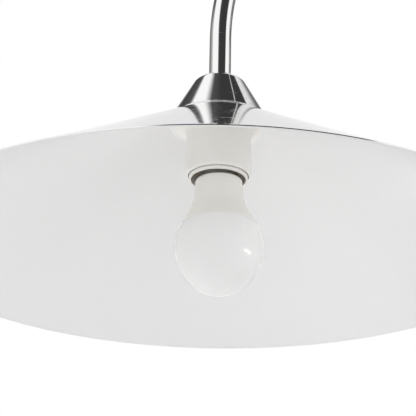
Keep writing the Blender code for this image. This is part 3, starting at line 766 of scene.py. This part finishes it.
def drum(radius, low, high, steps=SMALL):
    """A plain cylinder between two heights, as a cutter."""
    shape = bmesh.new()
    bmesh.ops.create_cone(
        shape,
        cap_ends=True,
        segments=steps,
        radius1=radius,
        radius2=radius,
        depth=high - low,
    )
    bmesh.ops.translate(shape, vec=(0.0, 0.0, (low + high) / 2), verts=shape.verts)
    return shape


def knuckle_blank(thickness):
    """Plate and barrel of a fork or tongue, with the hinge at the origin and the barrel above it."""
    swing = math.degrees(math.acos(NECK / DISC))
    outline = [(x, -z) for x, z in arc(0.0, 0.0, DISC, -swing, 180 + swing, 48)]
    outline += [(-NECK, BARREL_START + 0.002), (NECK, BARREL_START + 0.002)]
    plate = slab(outline, thickness, 0.0008)
    barrel = turned(
        rounded(
            [
                (0.0, BARREL_START, 0.0),
                (BARREL - 0.0005, BARREL_START, 0.0010),
                (BARREL - 0.0005, BARREL_START + 0.0022, 0.0),
                (BARREL, BARREL_START + 0.0027, 0.0002),
                (BARREL, BARREL_END - 0.0032, 0.0002),
                (BARREL - 0.0006, BARREL_END - 0.0026, 0.0002),
                (BARREL - 0.0006, BARREL_END - 0.0018, 0.0002),
                (BARREL, BARREL_END - 0.0012, 0.0002),
                (BARREL, BARREL_END, 0.0007),
                (TUBE_RADIUS + GAP, BARREL_END, 0.0003),
                (TUBE_RADIUS + GAP, SOCKET_START, 0.0),
                (0.0, SOCKET_START, 0.0),
            ],
            False,
            3,
        ),
        64,
    )
    screw_hole = moved(
        drum(0.0023, 0.005, 0.015, 32),
        Matrix.Translation((0.0, 0.0, SCREW_AT)) @ Matrix.Rotation(math.pi / 2, 4, "Y"),
    )
    bolt_hole = moved(drum(0.0033, -0.02, 0.02), Matrix.Rotation(math.pi / 2, 4, "X"))
    return plate, [("UNION", barrel), ("DIFFERENCE", screw_hole), ("DIFFERENCE", bolt_hole)]


def tongue_shape():
    """One blade on the hinge, with its barrel above it."""
    plate, steps = knuckle_blank(TONGUE_THICK)
    return combined(plate, steps)


def fork_shape():
    """Two ears on the hinge, with their barrel below it."""
    plate, steps = knuckle_blank(2 * EAR_OUTER)
    slot_top = 0.0195
    slot = moved(
        block((0.04, 2 * EAR_INNER, 0.04 + slot_top)),
        Matrix.Translation((0.0, 0.0, slot_top / 2 - 0.02)),
    )
    shape = combined(plate, [*steps, ("DIFFERENCE", slot)])
    return moved(shape, Matrix.Rotation(math.pi, 4, "X"))


def set_screw():
    """A set screw seen end on, with its hexagon socket."""
    socket = drum(0.0011, 0.0099, 0.0120, 6)
    body = turned(
        rounded([(0.0, 0.0113, 0.0), (0.0020, 0.0113, 0.0003), (0.0020, 0.0084, 0.0), (0.0, 0.0084, 0.0)]),
        32,
    )
    return combined(body, [("DIFFERENCE", socket)])


def hinge_bolt():
    """Domed bolt head with a hexagon socket, and its shank through the knuckle."""
    body = turned(
        rounded(
            [
                (0.0, 0.0152, 0.0),
                (0.0052, 0.0152, 0.0040),
                (0.0075, 0.0132, 0.0008),
                (0.0075, 0.0115, 0.0004),
                (0.0030, 0.0115, 0.0),
                (0.0030, -0.0212, 0.0004),
                (0.0, -0.0212, 0.0),
            ],
            False,
            6,
        ),
        64,
    )
    return combined(body, [("DIFFERENCE", drum(0.0023, 0.0128, 0.0170, 6))])


def hand_knob():
    """Fluted knob with a dished face and a boss that bears on the fork."""
    radius = 0.0135
    start = -0.0145
    end = -0.0255
    profile = rounded(
        [
            (0.0, -0.0215, 0.0),
            (0.0033, -0.0215, 0.0),
            (0.0033, -0.0115, 0.0003),
            (0.0080, -0.0115, 0.0004),
            (0.0080, start, 0.0003),
            (radius, start, 0.0012),
            (radius, end, 0.0014),
            (0.0095, end, 0.0006),
            (0.0085, end + 0.0007, 0.0006),
            (0.0, end + 0.0007, 0.0),
        ],
        False,
        5,
    )
    shape = turned(profile, 240)
    flutes = 20
    depth = 0.0007
    plain = 0.0105
    blend = 0.0025
    for corner in shape.verts:
        reach = math.hypot(corner.co.x, corner.co.y)
        if reach > plain:
            angle = math.atan2(corner.co.y, corner.co.x)
            dip = depth * (0.5 + 0.5 * math.cos(flutes * angle)) ** 3
            share = min(1.0, (reach - plain) / blend)
            scale = 1.0 - dip * share / reach
            corner.co.x *= scale
            corner.co.y *= scale
    return shape


def knuckle(name, at, toward_parent, toward_child, parent, child):
    """A friction hinge: fork, tongue, bolt, two washers, two set screws and the hand knob."""
    down = along(at, at + (at - toward_parent))
    up = along(at, toward_child)
    piece(name + "_ears", fork_shape(), down, CHROME_KNUCKLE, parent, [name + "_fork"])
    piece(name + "_blade", tongue_shape(), up, CHROME_KNUCKLE, child, [name + "_tongue"])
    bolt = hinge_bolt()
    piece(name + "_pivot_bolt", bolt, across(at), CHROME_KNUCKLE, parent, [name + "_bolt"])
    for side, where in ((-1, "left"), (1, "right")):
        low, high = sorted((side * 0.0053, side * 0.0059))
        washer = ring(0.012, 0.0034, low, high, 0.0001, 64)
        node = f"{name}_washer_{where}"
        piece(f"{name}_{where}_disc", washer, across(at), FIBRE, parent, [node])
    for side, end, place, body in ((-1, "fork", down, parent), (1, "tongue", up, child)):
        seat = Matrix.Translation((0.0, 0.0, side * SCREW_AT)) @ Matrix.Rotation(math.pi / 2, 4, "Y")
        node = f"{name}_{end}_screw"
        piece(f"{name}_{end}_set_screw", set_screw(), place @ seat, STEEL, body, [node])
    knob = name + "_knob"
    piece(name + "_fluted_knob", hand_knob(), across(at), BLACK, knob, [knob])


def arm_tube(name, start, end, finish, body, node):
    """A straight tube from one knuckle's socket to the next one's."""
    low = SOCKET_START + GAP
    high = (end - start).length - low
    shape = ring(TUBE_RADIUS, TUBE_RADIUS - TUBE_WALL, low, high, 0.0003, 64)
    piece(name, shape, along(start, end), finish, body, [node])


# ---------------------------------------------------------------------------------------------
# Base


def cover_height(radius):
    """Height of the cover's sloped top at this radius."""
    return COVER_SHOULDER + (COVER_RADIUS - COVER_CORNER - radius) * math.tan(COVER_SLOPE)


def base_cover():
    """Spun cover with a rounded edge and windows for the switch and the inlet."""
    hole = 0.0128
    foot = 0.001
    edge = (COVER_RADIUS - COVER_CORNER, COVER_SHOULDER - COVER_CORNER)
    lean = 90 - math.degrees(COVER_SLOPE)
    outline = [(hole, cover_height(hole))]
    outline += arc(*edge, COVER_CORNER, lean, 0, 16)
    outline += [(COVER_RADIUS, foot + 0.0004), (COVER_RADIUS - 0.0004, foot)]
    outline += [(COVER_RADIUS - COVER_SHEET, foot)]
    outline += arc(*edge, COVER_CORNER - COVER_SHEET, 0, lean, 16)
    outline += [(hole, cover_height(hole) - COVER_SHEET)]
    window = block((0.0214, 0.0142, 0.014))
    moved(window, switch_seat() @ Matrix.Translation((0.0, 0.0, -0.003)))
    inlet_low = 0.0033
    inlet_size = (0.025, 0.0246, 0.0136)
    inlet_centre = (0.1475, 0.0, inlet_low + inlet_size[2] / 2)
    inlet = moved(block(inlet_size), Matrix.Translation(inlet_centre))
    shape = combined(
        turned(outline, FINE, True), [("DIFFERENCE", window), ("DIFFERENCE", inlet)]
    )
    piece(
        "spun_base_cover",
        shape,
        upright(BASE),
        CHROME_BASE,
        "base",
        ["base_cover"],
        30.0,
    )


def switch_seat():
    """Local +Z points out of the cover, from the rocker's hinge."""
    return Matrix.Translation(HINGES["switch_rock"]) @ Matrix.Rotation(-COVER_SLOPE, 4, "Y")


def base_collar():
    """Polished cone round the post, in the form of the cap on the shade."""
    low = cover_height(COLLAR_RADIUS) + GAP
    wall = 0.0015
    hole = TUBE_RADIUS + 0.0005
    outer = cone_outline(COLLAR_RADIUS, low, COLLAR_TOP, CAP_HALF_ANGLE, 0.005, hole)
    inner = cone_outline(
        COLLAR_RADIUS - wall / math.cos(CAP_HALF_ANGLE),
        low,
        COLLAR_TOP - wall,
        CAP_HALF_ANGLE,
        0.0035,
        hole,
    )
    shape = turned(rounded(outer, False, 10) + rounded(inner, False, 10)[::-1], FINE, True)
    piece(
        "polished_base_collar",
        shape,
        upright(BASE),
        CHROME_BASE,
        "base",
        ["base_collar"],
        50.0,
    )


def post():
    """The short tube that the whole lamp turns on."""
    low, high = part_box("post_tube")
    shape = ring(TUBE_RADIUS, TUBE_RADIUS - 0.0015, low.z, high.z, 0.0003, 64)
    piece("polished_post", shape, upright(BASE), CHROME_BASE, "post", ["post_tube"])


def base_pad():
    """Rubber pad with a rounded edge."""
    radius = 0.147
    shape = turned(
        rounded(
            [
                (0.0, 0.003, 0.0),
                (radius - 0.0012, 0.003, 0.0004),
                (radius, 0.0022, 0.0004),
                (radius, 0.0, 0.0005),
                (0.0, 0.0, 0.0),
            ]
        ),
        FINE,
    )
    piece("rubber_foot_pad", shape, upright(BASE), RUBBER, "base", ["base_pad"])


def rocker_switch():
    """Rocker with a shallow V, in a bevelled frame."""
    place = switch_seat()
    bezel = moved(block((0.024, 0.017, 0.0013), 0.0004), Matrix.Translation((0.0, 0.0, -0.00065)))
    body = moved(block((0.0208, 0.0136, 0.0090)), Matrix.Translation((0.0, 0.0, -0.0050)))
    well = block((0.0178, 0.0106, 0.0100))
    frame_shape = combined(bezel, [("UNION", body), ("DIFFERENCE", well)])
    piece("switch_frame", frame_shape, place, BLACK, "base", ["switch_housing"])
    half = 0.0084
    crown = 0.0010
    rise = half * math.tan(ROCKER_TILT)
    outline = rounded(
        [
            (-half, crown + rise, 0.0005),
            (0.0, crown, 0.004),
            (half, crown + rise, 0.0005),
            (half, -0.0005, 0.0),
            (0.005, -0.0032, 0.0),
            (-0.005, -0.0032, 0.0),
            (-half, -0.0005, 0.0),
        ],
        True,
        5,
    )
    rocker = slab(outline, 0.010, 0.0004)
    tilt = place @ Matrix.Rotation(-ROCKER_TILT, 4, "Y")
    piece("switch_rocker_cap", rocker, tilt, BLACK, "rocker", ["switch_rocker"])


def mains_inlet():
    """Two-pin inlet: a bevelled block with its double-round recess and the two pins."""
    low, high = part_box("inlet_socket")
    size = high - low
    centre = (high + low) / 2
    face = high.x
    recess = 0.0043
    apart = 0.0033
    outline = [(x + apart, z) for x, z in arc(0.0, 0.0, recess, -90, 90, 24)]
    outline += [(x - apart, z) for x, z in arc(0.0, 0.0, recess, 90, 270, 24)]
    pocket = moved(
        slab(outline, 0.026),
        Matrix.Translation((face, 0.0, centre.z)) @ Matrix.Rotation(math.pi / 2, 4, "Z"),
    )
    cuts = [("DIFFERENCE", pocket)]
    turn = Matrix.Rotation(math.pi / 2, 4, "Y")
    for side in (-1, 1):
        at = Matrix.Translation((0.0, side * PIN_OFFSET, centre.z))
        cuts.append(("DIFFERENCE", moved(drum(0.0015, 0.120, 0.145, 24), at @ turn)))
    shape = combined(moved(block(size, 0.0006), Matrix.Translation(centre)), cuts)
    piece("inlet_block", shape, Matrix.Identity(4), BLACK, "base", ["inlet_socket"])
    for side, name in ((-1, "left"), (1, "right")):
        node = "inlet_pin_" + name
        start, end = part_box(node)
        pin = turned(
            rounded(
                [
                    (0.0, end.x, 0.0),
                    (0.0012, end.x, 0.0007),
                    (0.0012, start.x, 0.0003),
                    (0.0, start.x, 0.0),
                ]
            ),
            32,
        )
        at = Matrix.Translation((0.0, side * PIN_OFFSET, centre.z))
        piece(f"inlet_{name}_contact", pin, at @ turn, STEEL, "base", [node])


# ---------------------------------------------------------------------------------------------
# Hidden CAD pieces that stay, with their materials


def finish_hidden_pieces():
    """Gives every solid that no new piece stands for its finish."""
    finishes = {
        "base_weight": IRON,
        "swivel_bush": BRASS,
        "post_washer": FIBRE,
        "post_nut": STEEL,
        "supply_lead": WIRE,
        "switched_lead": WIRE,
        "lower_arm_lead": WIRE,
        "upper_arm_lead": WIRE,
        "head_lead": WIRE,
        "threaded_nipple": BRASS,
        "holder_nut": STEEL,
        "holder_screw_shell": BRASS,
        "holder_contact": BRASS,
        "bulb_cap": BULB_METAL,
        "bulb_insulator": BLACK,
        "bulb_tip": BRASS,
        "led_board": BOARD,
    }
    for name, finish in finishes.items():
        node = frame["nodes"][name]
        node.data.materials.clear()
        node.data.materials.append(finish)


# ---------------------------------------------------------------------------------------------
# Studio


VIEW_PLACE = RIM + ASIDE * 0.014 - AHEAD * 0.598 - UP * 0.207
VIEW_PITCH = math.radians(20.99)
VIEW_ROLL = math.radians(0.42)
LENS = 81.52
SENSOR = 36.0
LENS_SHIFT = (-0.0719, 0.0769)


def camera():
    """A long lens below the shade, looking up into it."""
    data = bpy.data.cameras.new("studio_camera")
    data.lens = LENS
    data.sensor_width = SENSOR
    data.shift_x, data.shift_y = LENS_SHIFT
    data.clip_start = 0.01
    made = bpy.data.objects.new("studio_camera", data)
    bpy.context.scene.collection.objects.link(made)
    forward = AHEAD * math.cos(VIEW_PITCH) + UP * math.sin(VIEW_PITCH)
    level_up = ASIDE.cross(forward)
    right = ASIDE * math.cos(VIEW_ROLL) + level_up * math.sin(VIEW_ROLL)
    top = right.cross(forward)
    turn = Matrix((right, top, -forward)).transposed().to_4x4()
    made.matrix_world = Matrix.Translation(VIEW_PLACE) @ turn
    bpy.context.scene.camera = made


def floor():
    """A wide pale floor with a faint cloud in its tint."""
    shape = bmesh.new()
    bmesh.ops.create_grid(shape, x_segments=2, y_segments=2, size=40.0)
    mesh = bpy.data.meshes.new("studio_floor")
    shape.to_mesh(mesh)
    shape.free()
    made = bpy.data.objects.new("studio_floor", mesh)
    bpy.context.scene.collection.objects.link(made)
    finish = Finish("pale_floor", (0.86, 0.86, 0.86), 0.0, 0.8)
    where = finish.place()
    cloud = finish.ranged(finish.noise(where, 1.5, 2.0), 0.3, 0.7, 0.0, 1.0)
    tint = finish.mixed(cloud, (0.85, 0.85, 0.85), (0.87, 0.87, 0.87))
    finish.link(tint, finish.shader.inputs["Base Color"])
    mesh.materials.append(finish.material)


class Sky:
    """Node helpers for the white studio that surrounds the lamp."""

    def __init__(self):
        world = bpy.data.worlds.new("white_studio")
        bpy.context.scene.world = world
        world.use_nodes = True
        self.tree = world.node_tree
        self.tree.nodes.clear()
        self.way = self.tree.nodes.new("ShaderNodeTexCoord").outputs["Generated"]

    def toward(self, direction):
        """How far the looked-at direction lies along this one, from -1 to 1."""
        made = self.tree.nodes.new("ShaderNodeVectorMath")
        made.operation = "DOT_PRODUCT"
        made.inputs[1].default_value = direction
        self.tree.links.new(self.way, made.inputs[0])
        return made.outputs["Value"]

    def step(self, value, low, high):
        """Rises smoothly from 0 at low to 1 at high, or falls where low is above high."""
        made = self.tree.nodes.new("ShaderNodeMapRange")
        made.interpolation_type = "SMOOTHSTEP"
        falling = low > high
        made.inputs["From Min"].default_value = min(low, high)
        made.inputs["From Max"].default_value = max(low, high)
        made.inputs["To Min"].default_value = 1.0 if falling else 0.0
        made.inputs["To Max"].default_value = 0.0 if falling else 1.0
        self.tree.links.new(value, made.inputs["Value"])
        return made.outputs["Result"]

    def math(self, operation, first, second):
        made = self.tree.nodes.new("ShaderNodeMath")
        made.operation = operation
        for socket, value in zip(made.inputs, (first, second)):
            if isinstance(value, (int, float)):
                socket.default_value = value
            else:
                self.tree.links.new(value, socket)
        return made.outputs[0]

    def panel(self, steps, darkness):
        """1 away from a dark panel and 1 - darkness inside it; its smooth edges are multiplied."""
        share = steps[0]
        for step in steps[1:]:
            share = self.math("MULTIPLY", share, step)
        return self.math("SUBTRACT", 1.0, self.math("MULTIPLY", share, darkness))


def studio():
    """White all round, with the dark panels that give polished metal its bands."""
    sky = Sky()
    aside = sky.toward(ASIDE)
    ahead = sky.toward(AHEAD)
    up = sky.toward(UP)
    overhead_side = sky.toward(ASIDE - AHEAD * 0.1)
    left_side = sky.toward(AHEAD - ASIDE * 0.76)
    right_side = sky.toward(AHEAD + ASIDE * 0.57)
    behind_left = sky.step(aside, -0.20, -0.27)
    panels = [
        sky.panel([sky.step(ahead, 0.24, 0.32), sky.step(up, 0.44, 0.60)], 0.22),
        sky.panel([sky.step(left_side, 0.50, 0.62), behind_left], 0.45),
        sky.panel([sky.step(left_side, 0.62, 1.05), behind_left], 0.55),
        sky.panel([sky.step(left_side, 0.52, 0.66), behind_left, sky.step(up, 0.58, 0.72)], 0.80),
        sky.panel([sky.step(right_side, 0.60, 0.84), sky.step(aside, 0.14, 0.28)], 0.82),
    ]
    roof_edges = [sky.step(overhead_side, 0.80, 0.74), sky.step(ahead, 0.29, 0.23)]
    gap = sky.math("MULTIPLY", sky.step(aside, 0.262, 0.272), sky.step(aside, 0.288, 0.278))
    gap = sky.math("MULTIPLY", gap, sky.step(up, 0.84, 0.90))
    closed = sky.math("SUBTRACT", 1.0, sky.math("MULTIPLY", gap, 0.6))
    panels.append(sky.panel([sky.step(overhead_side, -0.29, -0.13), closed, *roof_edges], 0.93))
    panels.append(sky.panel([sky.step(overhead_side, -0.12, 0.06), closed, *roof_edges], 0.42))
    level = panels[0]
    for panel in panels[1:]:
        level = sky.math("MULTIPLY", level, panel)
    seen = sky.tree.nodes.new("ShaderNodeLightPath").outputs["Is Camera Ray"]
    level = sky.math("MAXIMUM", level, seen)
    background = sky.tree.nodes.new("ShaderNodeBackground")
    background.inputs["Color"].default_value = (1.0, 1.0, 1.0, 1.0)
    sky.tree.links.new(level, background.inputs["Strength"])
    output = sky.tree.nodes.new("ShaderNodeOutputWorld")
    sky.tree.links.new(background.outputs[0], output.inputs["Surface"])


def soft_light(name, place, target, size, power, mirrored):
    """A rectangular panel that the camera never sees, and that shiny pieces mirror or not."""
    data = bpy.data.lights.new(name, "AREA")
    data.shape = "RECTANGLE"
    data.size, data.size_y = size
    data.energy = power
    made = bpy.data.objects.new(name, data)
    bpy.context.scene.collection.objects.link(made)
    made.location = place
    made.rotation_euler = (Vector(target) - Vector(place)).to_track_quat("-Z", "Y").to_euler()
    made.visible_camera = False
    made.visible_glossy = mirrored
    return made


def overcast(strength):
    """Wide soft light from above that whitens the floor and stays out of the mirrors."""
    data = bpy.data.lights.new("overcast", "SUN")
    data.energy = strength
    data.angle = math.radians(120.0)
    made = bpy.data.objects.new("overcast", data)
    bpy.context.scene.collection.objects.link(made)
    made.location = (0.0, 0.0, 3.0)
    made.visible_camera = False
    made.visible_glossy = False


def lights():
    """Overcast light, a beam and a low panel into the shade, and a strip mirrored in the dome."""
    overcast(1.6)
    below = Vector((RIM.x, 0.0, 0.01)) - ASIDE * 0.14 + AHEAD * 0.26
    beam = soft_light("beam_panel", below, RIM, (0.7, 0.7), 0.38, False)
    beam.data.spread = math.radians(40.0)
    front = RIM - AHEAD * 0.75 + ASIDE * 0.03 - UP * 0.41
    soft_light("front_panel", front, RIM, (0.8, 0.3), 0.62, False)
    glint = RIM + ASIDE * 0.020 - AHEAD * 0.022 + UP * 0.007
    strip = glint + (ASIDE * 0.979 - AHEAD * 0.188 - UP * 0.076) * 0.14
    soft_light("strip_panel", strip, glint, (0.062, 0.013), 0.018, True)


# ---------------------------------------------------------------------------------------------
# The lamp in its studio

camera()
floor()
studio()
lights()

spun_shade()
neck_cap()
bent_neck()
lampholder()
bulb()
knuckle("shoulder", SHOULDER, BASE, ELBOW, "post", "lower_arm")
knuckle("elbow", ELBOW, SHOULDER, HEAD, "lower_arm", "upper_arm")
knuckle("head", HEAD, ELBOW, HEAD - Vector((1.0, 0.0, 0.0)), "upper_arm", "lamp_head")
arm_tube("polished_lower_tube", SHOULDER, ELBOW, CHROME_LOWER, "lower_arm", "lower_arm_tube")
arm_tube("polished_upper_tube", ELBOW, HEAD, CHROME_UPPER, "upper_arm", "upper_arm_tube")
base_cover()
base_collar()
post()
base_pad()
rocker_switch()
mains_inlet()
finish_hidden_pieces()

bpy.context.scene.view_settings.view_transform = "Standard"
